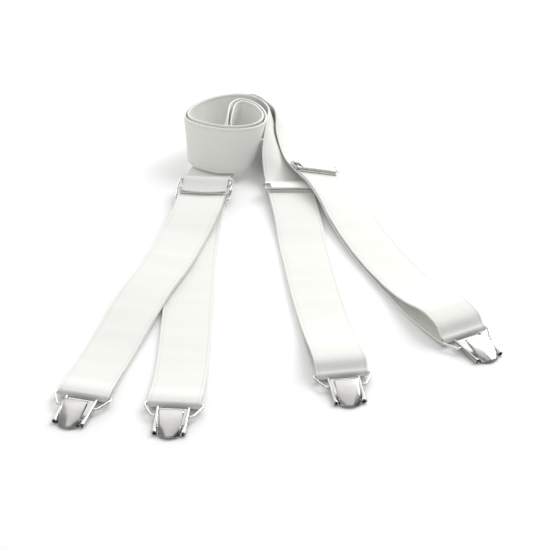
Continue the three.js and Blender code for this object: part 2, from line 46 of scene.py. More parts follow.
# ---------------------------------------------------------------------------------------
# The two straps. Each is one length of white elastic webbing, 34.6 mm wide and 1.5 mm
# thick, woven with a plain middle and a grooved selvedge along both edges. Both ends are
# doubled back round the bar of a clip. Strap A lies over strap B, and their middles are
# rolled up together on edge.
# ---------------------------------------------------------------------------------------
LAY_OUT = np.array([-4.5782, 7.6342, 0.0674])   # laying-out origin in the row's frame
WEB_WIDTH = 34.6
WEB_THICK = 1.5
GAP = 0.3                                        # between pieces that touch
LAYER = WEB_THICK + GAP
BAIL_WIRE = 1.8
BAIL_HEIGHT = 4.4                                # bar of the clip's bail above the table
FOLD_RADIUS = BAIL_WIRE / 2 + 0.25 + WEB_THICK / 2
LOW = WEB_THICK / 2
NOSE_REACH = 6.0                                 # bail bar to the fullest part of a loose loop
# bail bar's centre x, y, and the clip's turn from straight to -Y, in degrees
ENDS = [(-122.4, -178, -16), (-64.1, -188.5, -5), (43.6, -153, 9), (126, -103, 31)]


def flat(x, y, z, turn=0.0, tilt=0.0):
    """Station of the webbing's middle line, its width pointing along turn, lifted by tilt."""
    a, b = math.radians(turn), math.radians(tilt)
    return [x, y, z, math.cos(a) * math.cos(b), math.sin(a) * math.cos(b), math.sin(b)]


def span(low_edge, high_edge):
    """Station half way between two edge points, its width pointing from one to the other."""
    low_edge, high_edge = np.array(low_edge, float), np.array(high_edge, float)
    across = high_edge - low_edge
    return [*((low_edge + high_edge) / 2), *(across / np.linalg.norm(across))]


def stand(x, y, z):
    """Station on the upright roll from its top edge; the foot is the rim shrunk and moved."""
    rim, foot, shrink = (-37, 166), (-40.5, 155), (0.8, 0.97)
    dx = x - (foot[0] + shrink[0] * (x - rim[0]))
    dy = y - (foot[1] + shrink[1] * (y - rim[1]))
    dz = math.sqrt(WEB_WIDTH ** 2 - dx ** 2 - dy ** 2)
    return span([x - dx, y - dy, z - dz], [x, y, z])


LOWER = [
    [flat(-119, -160, 1.4, -15.5), flat(-112.3, -133, 0.9, -15), flat(-107.5, -115, 1.2, -15, 1),
     flat(-101.5, -93, 2.6, -15, 2), flat(-90, -52, 5.0, -15, 1), flat(-76.5, -11, 4.9, -14.5, 1),
     flat(-65.5, 32, 5.0, -14), flat(-57.6, 62.5, 8.3, -8, 2), flat(-53.6, 85.7, 8.6, -8, 2),
     flat(-50.6, 103.5, 8.8, -8, 2)],
    [flat(-62.6, -170, 1.4, -4), flat(-61, -145, LOW, -3), flat(-60.5, -125, LOW, -3),
     flat(-59.6, -57, LOW, -1), flat(-58.8, 15, LOW, -2), flat(-56.6, 60, LOW, -5),
     flat(-54.2, 86, LOW, -5), flat(-52.6, 104, LOW, -5)],
    [flat(40.6, -136, 1.4, 8.5), flat(37.2, -112, LOW, 8), flat(34.7, -94, LOW, 8),
     flat(28.5, -50, LOW, 8), flat(22.7, 0, LOW, 7), flat(20.4, 20, LOW, 7),
     flat(16.5, 63, 2.4, 7.5, -4), flat(13.1, 89.7, 3.3, 7.5, -4), flat(10.8, 107.5, 3.9, 7.5, -4)],
    [flat(116.6, -87, 1.4, 30), flat(103.5, -62, LOW, 26), flat(96.5, -46, LOW, 25),
     flat(87, -24, LOW, 23), flat(70, 18, 1.0, 21, -1), flat(55.5, 62, 2.6, 22.5, -5),
     flat(45.5, 91.5, 5.4, 28, -15), flat(38.8, 105.2, 7.3, 29.6, -20.5),
     flat(27, 126, 9.9, 29.6, -20.5)],
]
MIDDLE_A = [
    flat(-49.8, 114, 7.5, -7, 2),
    span([-67.9, 126, 4.0], [-33.3, 122, 5.6]), span([-66.3, 133, 3.4], [-32.6, 130, 8.4]),
    span([-62, 145, 3.2], [-34.5, 142.5, 23.6]), span([-53.5, 157, 3.2], [-36, 155.5, 33]),
    span([-43.2, 168.5, 3.4], [-35.6, 170, 37.2]),
    stand(-34.6, 183, 37.3), stand(-31.5, 191, 36.9), stand(-26.6, 195.2, 36.7),
    stand(-21, 192.6, 36.9), stand(-14.2, 185, 37.4), stand(-9.2, 174.5, 38),
    stand(-6.9, 164.6, 38.6), stand(-6.6, 155, 39.2), stand(-8.8, 145.5, 39.8),
    stand(-15.8, 137.4, 40.4), stand(-28.5, 133.6, 40.7), stand(-38.7, 134.4, 40.6),
    stand(-49.1, 138.2, 40.4), stand(-59.6, 144.6, 40), stand(-66.6, 152.4, 39.4),
    stand(-69.2, 162.4, 38.7), stand(-67.8, 172.6, 38), stand(-61, 187, 36.9),
    stand(-53.3, 196.2, 36.3), stand(-45.4, 201.6, 36), stand(-37.5, 205, 35.8),
    stand(-29.7, 206.6, 35.7), stand(-21.7, 205.6, 35.8),
    span([-12, 197.5, 2.4], [-14.2, 201.6, 36.4]), span([1.5, 200, 2], [-8, 196.4, 35]),
    span([14, 197, 2], [-0.8, 188.5, 31.5]), span([25, 181, 2.6], [1.6, 166, 21]),
    span([34, 159, 2.8], [6, 142.6, 14.6]),
]
MIDDLE_B = [
    flat(-51.9, 113.5, 0.95, -5),
    span([-67.3, 127, 1.5], [-32.8, 123, 2.6]), span([-65, 134, 1.2], [-31, 131, 5.6]),
    span([-60.3, 145.5, 1.2], [-32.5, 143.5, 21.4]), span([-51, 157.5, 1.3], [-33.2, 156, 31]),
    span([-40.2, 168, 2.2], [-32.8, 168, 36]),
    stand(-31.4, 178, 37.6), stand(-28.8, 185.6, 38), stand(-25, 189, 37.9),
    stand(-20.9, 186.4, 38), stand(-15.2, 179.6, 38.5), stand(-11.5, 171, 39),
    stand(-9.5, 163.6, 39.5), stand(-9.2, 155.5, 40), stand(-11.3, 148.2, 40.6),
    stand(-17.4, 140.8, 41.3), stand(-28.6, 137.1, 41.6), stand(-37.9, 137.9, 41.5),
    stand(-47.6, 141.4, 41.3), stand(-57.6, 147.4, 40.8), stand(-63.9, 154.5, 40.2),
    stand(-66.3, 162.6, 39.6), stand(-65, 171.2, 39), stand(-58.6, 184.8, 38),
    stand(-51.3, 193.6, 37.3), stand(-44, 198.6, 37), stand(-37, 201.6, 36.8),
    stand(-29.9, 203, 36.7), stand(-22.7, 202.1, 36.8),
    span([-14.5, 193.4, 2.6], [-16.2, 198, 37]), span([-1, 193.4, 2], [-9.4, 192.4, 35.6]),
    span([4.2, 184, 2], [-5.2, 182, 35]), span([4.3, 170, 1.6], [-5.6, 167, 34.4]),
    span([9.8, 156, 1.4], [-7.4, 152.6, 30.8]), span([17.6, 141.5, 1.2], [-9.4, 137, 21.4]),
    span([25.6, 125, 1.6], [-8.4, 120, 8.2]),
]


def axes_at(lower):
    """Frame of an adjuster on the last station of a lower layer: rows x across, y away from
    the clip, z off the face, and the point on the layer's face."""
    last, before = np.array(lower[-1]), np.array(lower[-2])
    x = last[3:] / np.linalg.norm(last[3:])
    y = last[:3] - before[:3]
    y = y - x * (y @ x)
    y = y / np.linalg.norm(y)
    z = np.cross(x, y)
    return np.array([x, y, z]), last[:3] + z * WEB_THICK / 2


def doubled_end(end, lower, cut, bulge, nose=None):
    """Stations from the cut end of the upper layer, round half a circle at the bail bar,
    and back along the lower layer. bulge lifts the upper layer off the lower one, and nose is
    the height of a loose loop's upper side just before the bail."""
    axes, point = axes_at(lower)
    start = point + np.array([0, -cut, GAP + WEB_THICK / 2]) @ axes
    upper = [[*start, *lower[-1][3:]]]
    lift = bulge + [0.0] * len(lower)
    for i in range(len(lower) - 2, -1, -1):
        x, y, z, *across = lower[i]
        upper.append([x, y, z + LAYER + lift[i], *across])
    x, y, turn = end
    a = math.radians(turn)
    if nose:
        upper.append([x - math.sin(a) * NOSE_REACH, y + math.cos(a) * NOSE_REACH, nose,
                      math.cos(a), math.sin(a), 0])
    for k in range(6, -1, -1):
        angle = -math.pi / 2 + math.pi * k / 6
        reach = math.cos(angle) * FOLD_RADIUS
        upper.append([x + math.sin(a) * reach, y - math.cos(a) * reach,
                      BAIL_HEIGHT + math.sin(angle) * FOLD_RADIUS, math.cos(a), math.sin(a), 0])
    return upper + lower


def turned(rows):
    """The same stations walked the other way, with the width arrow turned round."""
    return [[x, y, z, -a, -b, -c] for x, y, z, a, b, c in rows[::-1]]


def through(rows, longest, sharpest):
    """Cubic Hermite curve through the stations with knots a chord apart. The slope at a
    station is its two chords' slopes, each weighted by the other chord's length. Returns the
    sampled stations, their direction of travel, and the knot value of every sample."""
    rows = np.asarray(rows, float)
    chord = np.maximum(np.linalg.norm(np.diff(rows[:, :3], axis=0), axis=1), 1e-3)
    knot = np.concatenate([[0.0], np.cumsum(chord)])
    rate = np.diff(rows, axis=0) / chord[:, None]
    inner = (rate[:-1] * chord[1:, None] + rate[1:] * chord[:-1, None])
    inner /= (chord[1:] + chord[:-1])[:, None]
    slope = np.vstack([rate[:1], inner, rate[-1:]])
    heading = slope[:, :3] / np.linalg.norm(slope[:, :3], axis=1)[:, None]
    bend = np.arccos(np.clip((heading[:-1] * heading[1:]).sum(1), -1, 1))
    steps = np.maximum(np.ceil(chord / longest), np.ceil(bend / sharpest)).astype(int)
    t = np.concatenate([np.linspace(knot[i], knot[i + 1], n, endpoint=False)
                        for i, n in enumerate(steps)] + [knot[-1:]])
    i = np.clip(np.searchsorted(knot, t, "right") - 1, 0, len(chord) - 1)
    h = chord[i][:, None]
    s = (t[:, None] - knot[i][:, None]) / h
    place = ((2 * s ** 3 - 3 * s ** 2 + 1) * rows[i] + (s ** 3 - 2 * s ** 2 + s) * h * slope[i]
             + (3 * s ** 2 - 2 * s ** 3) * rows[i + 1] + (s ** 3 - s ** 2) * h * slope[i + 1])
    run = ((6 * s ** 2 - 6 * s) * rows[i] + (3 * s ** 2 - 4 * s + 1) * h * slope[i]
           + (6 * s - 6 * s ** 2) * rows[i + 1] + (3 * s ** 2 - 2 * s) * h * slope[i + 1])[:, :3]
    return place, run / np.linalg.norm(run, axis=1)[:, None], t


def webbing_section(width, thick, groove):
    """Closed outline (across, through) of woven webbing: a quarter ellipse at each edge, and
    two grooves of bell shape that set the selvedge off from the middle."""
    edge = 0.65
    near = edge * (1 - np.cos(np.linspace(0, math.pi / 2, 6)))
    from_edge = np.concatenate([near, [1.2, 1.55, 1.8, 2.05, 2.3, 2.6, 2.85, 3.1, 3.4, 4.2]])
    half = np.concatenate([from_edge - width / 2, [-7.5, -3.0]])
    across = np.concatenate([half, -half[::-1]])
    d = width / 2 - np.abs(across)
    rise = thick / 2 * np.sqrt(1 - np.clip(1 - d / edge, 0, 1) ** 2)
    rise -= groove * np.exp(-((d - 2.05) / 0.24) ** 2)
    rise -= 0.5 * groove * np.exp(-((d - 3.1) / 0.22) ** 2)
    return np.concatenate([np.stack([across, rise], 1), np.stack([across, -rise], 1)[-2:0:-1]])


def ribbon(rows, width, thick, groove=0.2, wave=None, longest=1.5):
    """Rings of webbing along the stations: section point (a, b) goes to the middle line plus
    a times the width arrow plus b times the face normal. Each point keeps its place across
    and along the cloth in metres. wave(along, across) lifts the cloth off its middle line."""
    place, run, t = through(rows, longest, 0.13)
    across = place[:, 3:] / np.linalg.norm(place[:, 3:], axis=1)[:, None]
    face = np.cross(across, run)
    face /= np.linalg.norm(face, axis=1)[:, None]
    section = webbing_section(width, thick, groove)
    a = np.broadcast_to(section[None, :, 0], (len(t), len(section)))
    b = np.broadcast_to(section[None, :, 1], a.shape)
    if wave is not None:
        b = b + wave(t[:, None], a)
    rings = place[:, None, :3] + a[..., None] * across[:, None] + b[..., None] * face[:, None]
    along = np.broadcast_to(t[:, None], a.shape)
    return surface(rings, uv=np.stack([a, along], -1) * MM)


def surface(rings, looped=False, uv=None):
    """Closed surface over a stack of rings, in millimetres: point k of ring i joins point
    k + 1 and ring i + 1. An open stack gets a flat cap on its first and last ring. Faces are
    turned round when the volume they enclose comes out negative."""
    rings = np.asarray(rings, float)
    count, size = rings.shape[:2]
    index = np.arange(count * size).reshape(count, size)
    here, there = (index, np.roll(index, -1, 0)) if looped else (index[:-1], index[1:])
    quads = np.stack([here, there, np.roll(there, -1, 1), np.roll(here, -1, 1)], -1)
    quads = quads.reshape(-1, 4)
    points = rings.reshape(-1, 3)
    caps = [] if looped else [index[0], index[-1][::-1]]
    tri = [quads[:, :3], quads[:, [0, 2, 3]]]
    for cap in caps:
        tri.append(np.stack([np.full(size - 2, cap[0]), cap[1:-1], cap[2:]], 1))
    tri = np.concatenate(tri)
    middle = points.mean(0)
    p, q, r = (points[tri[:, k]] - middle for k in range(3))
    if (p * np.cross(q, r)).sum() < 0:
        quads = quads[:, ::-1]
        caps = [cap[::-1] for cap in caps]
    if uv is None:
        uv = np.zeros((count, size, 2))
    faces = quads.tolist() + [cap.tolist() for cap in caps]
    return points, faces, np.asarray(uv, float).reshape(-1, 2)


def piece(name, surfaces, material, body, nodes, place=None, sharp=38):
    """One finished piece from closed surfaces in millimetres: place turns its points into the
    laying-out frame, the mesh goes into the row's frame in metres, and the piece rides on its
    body in place of its CAD node."""
    points, faces, cloth = [], [], []
    base = 0
    for part_points, part_faces, part_uv in surfaces:
        points.append(part_points)
        cloth.append(part_uv)
        faces += [[base + k for k in face] for face in part_faces]
        base += len(part_points)
    points = np.concatenate(points)
    if place is not None:
        points = place(points)
    mesh = bpy.data.meshes.new(name)
    mesh.from_pydata(((points + LAY_OUT) * MM).tolist(), [], faces)
    corner = np.empty(len(mesh.loops), np.int32)
    mesh.loops.foreach_get("vertex_index", corner)
    layer = mesh.uv_layers.new(name="cloth")
    layer.data.foreach_set("uv", np.concatenate(cloth)[corner].astype(np.float32).ravel())
    mesh.shade_smooth()
    mesh.set_sharp_from_angle(angle=math.radians(sharp))
    mesh.materials.append(material)
    obj = bpy.data.objects.new(name, mesh)
    bpy.context.scene.collection.objects.link(obj)
    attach(obj, body)
    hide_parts(*nodes)
    return obj


def chain(tree, kind, inputs=(), **settings):
    """Adds a node of a kind to a tree, sets its properties, and links or sets its inputs."""
    node = tree.nodes.new(kind)
    for key, value in settings.items():
        setattr(node, key, value)
    for key, value in dict(inputs).items():
        if isinstance(value, bpy.types.NodeSocket):
            tree.links.new(value, node.inputs[key])
        else:
            node.inputs[key].default_value = value
    return node


def number(tree, operation, a, b=0.0, c=0.0):
    """Result of one sum, product or other operation on numbers in a shader tree."""
    return chain(tree, "ShaderNodeMath", {0: a, 1: b, 2: c}, operation=operation).outputs[0]


def new_group(name, inputs, outputs):
    """Empty shader group with named inputs (name, socket type, value) and outputs."""
    group = bpy.data.node_groups.new(name, "ShaderNodeTree")
    for label, kind, value in inputs:
        socket = group.interface.new_socket(label, in_out="INPUT", socket_type=kind)
        if value is not None:
            socket.default_value = value
    for label, kind in outputs:
        group.interface.new_socket(label, in_out="OUTPUT", socket_type=kind)
    return group, group.nodes.new("NodeGroupInput"), group.nodes.new("NodeGroupOutput")


GROOVE_REACH = 0.0005                            # metres to either side of the groove
# Elastic weave: ribs run along the cloth, and the crossing threads bead each rib, half a
# bead further on in every second rib. The selvedge past the groove is woven closer.
weave, weave_in, weave_out = new_group(
    "elastic_weave",
    [("Cloth", "NodeSocketVector", None), ("Rib", "NodeSocketFloat", 0.00105),
     ("Bead", "NodeSocketFloat", 0.0008), ("Selvedge", "NodeSocketFloat", 0.01525)],
    [("Height", "NodeSocketFloat"), ("Shade", "NodeSocketFloat"),
     ("Groove", "NodeSocketFloat")])
cloth_xy = chain(weave, "ShaderNodeSeparateXYZ", {0: weave_in.outputs["Cloth"]})
across_cloth, along_cloth = cloth_xy.outputs[0], cloth_xy.outputs[1]
rib_place = number(weave, "DIVIDE", across_cloth, weave_in.outputs["Rib"])
rib_round = number(weave, "ABSOLUTE", number(
    weave, "SINE", number(weave, "MULTIPLY", rib_place, math.pi)))
every_other = number(weave, "PINGPONG", number(weave, "FLOOR", rib_place), 1.0)
bead_place = number(weave, "ADD", number(
    weave, "DIVIDE", along_cloth, weave_in.outputs["Bead"]), number(
        weave, "MULTIPLY", every_other, 0.5))
bead_round = number(weave, "ABSOLUTE", number(
    weave, "SINE", number(weave, "MULTIPLY", bead_place, math.pi)))
off_middle = number(weave, "ABSOLUTE", across_cloth)
in_middle = number(weave, "LESS_THAN", off_middle, weave_in.outputs["Selvedge"])
from_groove = number(weave, "ABSOLUTE", number(
    weave, "SUBTRACT", off_middle, weave_in.outputs["Selvedge"]))
in_groove = number(weave, "SUBTRACT", 1.0, number(
    weave, "MULTIPLY", from_groove, 1 / GROOVE_REACH))
beaded = number(weave, "MULTIPLY_ADD", number(weave, "MULTIPLY", rib_round, bead_round), 0.5,
                number(weave, "MULTIPLY", rib_round, 0.5))
edge_weave = number(weave, "MULTIPLY_ADD", bead_round, 0.45, 0.3)
woven = chain(weave, "ShaderNodeMix", {"Factor": in_middle, "A": edge_weave, "B": beaded})
fluff = chain(weave, "ShaderNodeTexNoise",
              {"Vector": weave_in.outputs["Cloth"], "Scale": 900.0, "Detail": 3.0})
drift = chain(weave, "ShaderNodeTexNoise",
              {"Vector": weave_in.outputs["Cloth"], "Scale": 42.0, "Detail": 2.0})
height = number(weave, "MULTIPLY_ADD", fluff.outputs[0], 0.35, woven.outputs[0])
shade = number(weave, "MULTIPLY_ADD", woven.outputs[0], 0.6, number(
    weave, "MULTIPLY", drift.outputs[0], 0.55))
weave.links.new(height, weave_out.inputs["Height"])
weave.links.new(shade, weave_out.inputs["Shade"])
# Groove marks the selvedge grooves, where the cloth finish paints shade into the colour.
weave.links.new(number(weave, "MAXIMUM", in_groove, 0.0), weave_out.inputs["Groove"])


def mixed_colour(tree, factor, a, b):
    """Colour between a and b; each is a colour or another node's output."""
    node = tree.nodes.new("ShaderNodeMix")
    node.data_type = "RGBA"
    sockets = {s.name: s for s in node.inputs if s.enabled}
    for key, value in (("Factor", factor), ("A", a), ("B", b)):
        if isinstance(value, bpy.types.NodeSocket):
            tree.links.new(value, sockets[key])
        else:
            sockets[key].default_value = value
    return [s for s in node.outputs if s.enabled][0]


def cloth_finish(name, shadow, light, rib, bead, bump):
    """Woven white elastic: the weave group tints between two close whites and lifts a bump,
    and paints shade into the selvedge grooves. A little sheen stands for the fine fibres that stick out."""
    material = bpy.data.materials.new(name)
    material.use_nodes = True
    tree = material.node_tree
    shader = tree.nodes["Principled BSDF"]
    shader.inputs["Roughness"].default_value = 0.78
    shader.inputs["Sheen Weight"].default_value = 0.18
    shader.inputs["Sheen Roughness"].default_value = 0.45
    shader.inputs["Specular IOR Level"].default_value = 0.3
    cloth = chain(tree, "ShaderNodeUVMap", uv_map="cloth")
    pattern = chain(tree, "ShaderNodeGroup", node_tree=weave)
    tree.links.new(cloth.outputs[0], pattern.inputs["Cloth"])
    pattern.inputs["Rib"].default_value = rib
    pattern.inputs["Bead"].default_value = bead
    tint = mixed_colour(tree, pattern.outputs["Shade"], shadow, light)
    # Painted shade: the selvedge grooves are darkened towards three quarters of the shadow tint.
    painted_groove_shade = number(tree, "MULTIPLY", pattern.outputs["Groove"], 0.45)
    lined = mixed_colour(tree, painted_groove_shade, tint, tuple(0.75 * v for v in shadow[:3]) + (1,))
    tree.links.new(lined, shader.inputs["Base Color"])
    relief = chain(tree, "ShaderNodeBump", {"Height": pattern.outputs["Height"],
                                            "Strength": bump, "Distance": 0.00012})
    tree.links.new(relief.outputs[0], shader.inputs["Normal"])
    return material


WEBBING = cloth_finish("white_elastic_webbing", (0.785, 0.785, 0.75, 1), (0.835, 0.835, 0.80, 1),
                       0.00105, 0.0008, 0.28)


def soft_waves(first, last, seed):
    """Low cross waves in slack upper layers, about 26 mm long, that skew a little across the
    width. Each pair (first, last) is a stretch along the strap; the lift is never negative."""
    random = np.random.default_rng(seed)
    phase, skew = random.uniform(0, 6.28, 3), random.uniform(-0.05, 0.05, 3)

    def lift(along, across):
        total = 0.0
        for start, stop in zip(first, last):
            inside = np.clip((along - start) / 25, 0, 1) * np.clip((stop - along) / 25, 0, 1)
            ripple = (np.sin(along * 2 * math.pi / 26 + phase[0] + skew[0] * across)
                      + 0.6 * np.sin(along * 2 * math.pi / 41 + phase[1] + skew[1] * across)
                      + 0.4 * np.sin(along * 2 * math.pi / 15 + phase[2] + skew[2] * across))
            total = total + inside * (ripple + 1.8) * 0.07
        return total

    return lift


def strap(name, near_end, middle, far_end, near_loop, far_loop, seed):
    """One strap from clip to clip with waves on its two doubled upper layers."""
    head = doubled_end(ENDS[near_end], LOWER[near_end], *near_loop)
    tail = turned(doubled_end(ENDS[far_end], LOWER[far_end], *far_loop))
    rows = head + middle + tail
    chord = np.linalg.norm(np.diff(np.array(rows)[:, :3], axis=0), axis=1)
    knot = np.concatenate([[0.0], np.cumsum(chord)])
    first = [14.0, knot[len(rows) - len(LOWER[far_end]) + 1]]
    last = [knot[len(LOWER[near_end]) - 1] - 6.0, knot[-1] - 14.0]
    cloth = ribbon(rows, WEB_WIDTH, WEB_THICK, wave=soft_waves(first, last, seed))
    return piece(name + "_webbing", [cloth], WEBBING, "webbing", [name], sharp=60)


# Each end's loop: adjuster bar to the cut end, lift of the upper layer from the clip
# onwards, and the loose loops' height before the bail.
FLAT_LOOP_A = (15.5, [1.5, 0.6, 0.4, 0.2])
FLAT_LOOP_B = (15.5, [1.5, 0.5, 0.2])
LOOSE_LOOP_A = (8, [11.6, 7.2, 4.2, 2.4, 1.8, 1.5, 0.6], 12.0)
LOOSE_LOOP_B = (8, [8.6, 5.2, 2.8, 1.2, 0.5], 10.8)
strap("strap_a", 0, MIDDLE_A, 3, FLAT_LOOP_A, LOOSE_LOOP_A, 11)
strap("strap_b", 1, MIDDLE_B, 2, FLAT_LOOP_B, LOOSE_LOOP_B, 12)

# ---------------------------------------------------------------------------------------
# The four clips. Each is pressed from thin nickel-plated sheet: a back plate whose long
# sides are rolled up into tubes that widen towards the jaw, and a finger lever on a pin.
# A wire bail with two turned-in feet carries the plate in the fold of the webbing.
# ---------------------------------------------------------------------------------------
CLIP_WIDTH = 22.0
CLIP_TOP = 4.6
CLIP_LENGTH = 25.6
SHEET = 0.6
BAIL_BAR = 38.8
BAIL_REACH = 13.4
LEVER_START = 14.2
LEVER_LENGTH = 20.0
LEVER_RISE = 9.8
TIP_RISE = 2.0                                   # middle of the lever's tip above the table
LEVER_WIDTH = 16.4
LEVER_TIP = 13.2
PIN_RADIUS = 0.7
PIN_Y, PIN_Z = -24.2, 3.9

# Handled metal: fine hairlines one way, soft smudges, and a slow unevenness of the sheet.
handled, handled_in, handled_out = new_group(
    "handled_metal",
    [("Place", "NodeSocketVector", None), ("Smooth", "NodeSocketFloat", 0.18),
     ("Rough", "NodeSocketFloat", 0.34)],
    [("Roughness", "NodeSocketFloat"), ("Height", "NodeSocketFloat"),
     ("Smudge", "NodeSocketFloat")])
stretched = chain(handled, "ShaderNodeMapping",
                  {"Vector": handled_in.outputs["Place"], "Scale": (2600.0, 160.0, 900.0)})
hairline = chain(handled, "ShaderNodeTexNoise", {"Vector": stretched.outputs[0], "Detail": 2.0,
                                                 "Scale": 1.0})
smudge = chain(handled, "ShaderNodeTexNoise", {"Vector": handled_in.outputs["Place"],
                                               "Scale": 190.0, "Detail": 4.0})
uneven = chain(handled, "ShaderNodeTexNoise", {"Vector": handled_in.outputs["Place"],
                                               "Scale": 120.0, "Detail": 1.0})
rough_range = number(handled, "SUBTRACT", handled_in.outputs["Rough"],
                     handled_in.outputs["Smooth"])
rough_mix = number(handled, "MULTIPLY_ADD", smudge.outputs[0], rough_range,
                   handled_in.outputs["Smooth"])
relief_mix = number(handled, "MULTIPLY_ADD", hairline.outputs[0], 0.12, uneven.outputs[0])
handled.links.new(rough_mix, handled_out.inputs["Roughness"])
handled.links.new(relief_mix, handled_out.inputs["Height"])
handled.links.new(smudge.outputs[0], handled_out.inputs["Smudge"])


def metal_finish(name, dark, bright, smooth, rough, relief, metallic=1.0):
    """Plated metal: base colour drifts between two close tones with the smudges, and the
    roughness and a very low bump come from the handled-metal group."""
    material = bpy.data.materials.new(name)
    material.use_nodes = True
    tree = material.node_tree
    shader = tree.nodes["Principled BSDF"]
    shader.inputs["Metallic"].default_value = metallic
    coords = chain(tree, "ShaderNodeTexCoord")
    group = chain(tree, "ShaderNodeGroup", node_tree=handled)
    tree.links.new(coords.outputs["Object"], group.inputs["Place"])
    group.inputs["Smooth"].default_value = smooth
    group.inputs["Rough"].default_value = rough
    ramp = chain(tree, "ShaderNodeValToRGB", {"Fac": group.outputs["Smudge"]})
    ramp.color_ramp.elements[0].color = dark
    ramp.color_ramp.elements[1].color = bright
    tree.links.new(ramp.outputs[0], shader.inputs["Base Color"])
    tree.links.new(group.outputs["Roughness"], shader.inputs["Roughness"])
    bump = chain(tree, "ShaderNodeBump", {"Height": group.outputs["Height"],
                                          "Strength": relief, "Distance": 0.0002})
    tree.links.new(bump.outputs[0], shader.inputs["Normal"])
    return material


NICKEL = metal_finish("nickel_plated_sheet", (0.42, 0.415, 0.40, 1), (0.54, 0.53, 0.515, 1),
                      0.12, 0.26, 0.25)
WIRE = metal_finish("plated_wire", (0.58, 0.58, 0.56, 1), (0.74, 0.74, 0.72, 1),
                    0.18, 0.34, 0.15)
STRIP = metal_finish("tumbled_strip", (0.84, 0.84, 0.82, 1), (0.90, 0.90, 0.88, 1),
                     0.50, 0.62, 0.15, 0.15)


def tube(points, radius, up, sides=18, looped=False):
    """Round wire along a path: a circle round every point, in the plane across the path,
    started from the up direction. radius is one number or one for each point."""
    points = np.asarray(points, float)
    if looped:
        run = np.roll(points, -1, 0) - np.roll(points, 1, 0)
    else:
        run = np.gradient(points, axis=0)
    run /= np.linalg.norm(run, axis=1)[:, None]
    up = np.asarray(up, float)
    normal = up - (run @ up)[:, None] * run
    normal /= np.linalg.norm(normal, axis=1)[:, None]
    side = np.cross(run, normal)
    angle = np.linspace(0, 2 * math.pi, sides, endpoint=False)
    radius = np.broadcast_to(radius, len(points))[:, None, None]
    ring = np.cos(angle)[None, :, None] * normal[:, None] + np.sin(angle)[None, :, None] * side[:, None]
    return surface(points[:, None] + radius * ring, looped)


def eased(corners, cut, steps=8):
    """Path through corner points with each inner corner rounded by a quadratic arc that
    starts and ends at a distance cut from the corner."""
    corners = np.asarray(corners, float)
    t = np.linspace(0, 1, steps + 1)[:, None]
    path = [corners[:1]]
    for before, corner, after in zip(corners[:-2], corners[1:-1], corners[2:]):
        a = corner + (before - corner) / np.linalg.norm(before - corner) * cut
        b = corner + (after - corner) / np.linalg.norm(after - corner) * cut
        path.append((1 - t) ** 2 * a + 2 * t * (1 - t) * corner + t ** 2 * b)
    return np.concatenate(path + [corners[-1:]])


def rounded_pin(x0, x1, y, z, radius, head=0.0, sides=24):
    """Pin along x with domed ends, and a riveted head of a larger radius at each end."""
    reach = np.array([0.0, 0.06, 0.2, 0.42, 0.5, 0.5])
    swell = np.array([0.35, 0.75, 0.95, 1.0, 0.95, 0.8])
    end_radius = (radius + head) * swell
    x = np.concatenate([x0 + reach, [x0 + 0.52, x1 - 0.52], x1 - reach[::-1]])
    r = np.concatenate([end_radius, [radius, radius], end_radius[::-1]])
    x = np.maximum.accumulate(x + np.arange(len(x)) * 1e-4)
    path = np.stack([x, np.full(len(x), y), np.full(len(x), z)], 1)
    return tube(path, r, (0, 0, 1), sides)


def tube_at(v):
    """Rolled side of the back plate at distance v from the bail bar: radius, x and height."""
    s = (v - CLIP_TOP) / CLIP_LENGTH
    radius = 0.95 + 0.8 * s
    return radius, CLIP_WIDTH / 2 - radius, 4.7 - 2.85 * s


def back_plate():
    """Sheet whose section is one line: up round the right roll, across, and up round the left
    roll, four fifths of the sheet thick. Both rolls grow with the distance from the bail. The end rings are
    thinned by about a quarter, as a deburred edge."""
    v = CLIP_TOP + CLIP_LENGTH * np.concatenate([[0, 0.006], np.linspace(0.03, 0.97, 26), [0.994, 1]])
    radius, x, z = (value[:, None] for value in tube_at(v))
    ease = np.ones(len(v))[:, None]
    ease[[0, -1]] = 0.72
    angle = np.radians(np.linspace(-90, 168, 40))[None, :]
    half_sheet = SHEET * 0.4
    outer = radius - half_sheet + half_sheet * ease
    inner = radius - half_sheet - half_sheet * ease
    y = np.broadcast_to(-v[:, None], (len(v), 40))

    def roll(r, side):
        return np.stack([side * (x + np.cos(angle) * r), y, z + np.sin(angle) * r], -1)

    rings = np.concatenate([roll(outer, 1), roll(inner, 1)[:, ::-1], roll(inner, -1),
                            roll(outer, -1)[:, ::-1]], 1)
    return [surface(rings)]


def lever_top(t, s):
    """Mid height and half width of the lever at t along it and s across it: it falls from
    the finger edge to the tip, and crowns more and more towards the tip."""
    half = (LEVER_WIDTH + (LEVER_TIP - LEVER_WIDTH) * t) / 2
    crown = (0.3 + 0.5 * t) * s * s
    z = LEVER_RISE - (LEVER_RISE - TIP_RISE) * (0.55 * t + 0.45 * t * t) - crown
    y = -(LEVER_START + LEVER_LENGTH * t - 2.6 * s * s * t ** 4)
    return s * half, y, z


